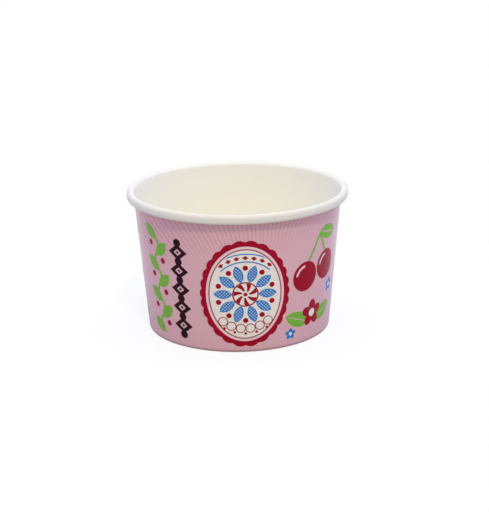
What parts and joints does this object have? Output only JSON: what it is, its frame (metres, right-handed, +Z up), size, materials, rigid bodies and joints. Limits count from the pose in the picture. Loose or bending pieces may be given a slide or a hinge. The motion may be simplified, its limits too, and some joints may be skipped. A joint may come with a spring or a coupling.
{
  "type": "paper cup",
  "caption": "Round tapered paperboard dessert cup with an outward-rolled rim, open top, glued side seam and a recessed flat bottom.",
  "frame": {"origin": "centre of the foot, on the surface that the cup stands on", "axes": "+Z up along the cup's axis; -Y towards the front of the print; the side seam on the +X side"},
  "size_m": [0.095, 0.095, 0.061],
  "materials": {
    "printed_board": "satin coated paperboard, pink print outside, white inside",
    "white_board": "satin coated white paperboard"
  },
  "bodies": {
    "root": {"side_wall": "printed_board", "bottom_disc": "white_board"}
  },
  "joints": []
}
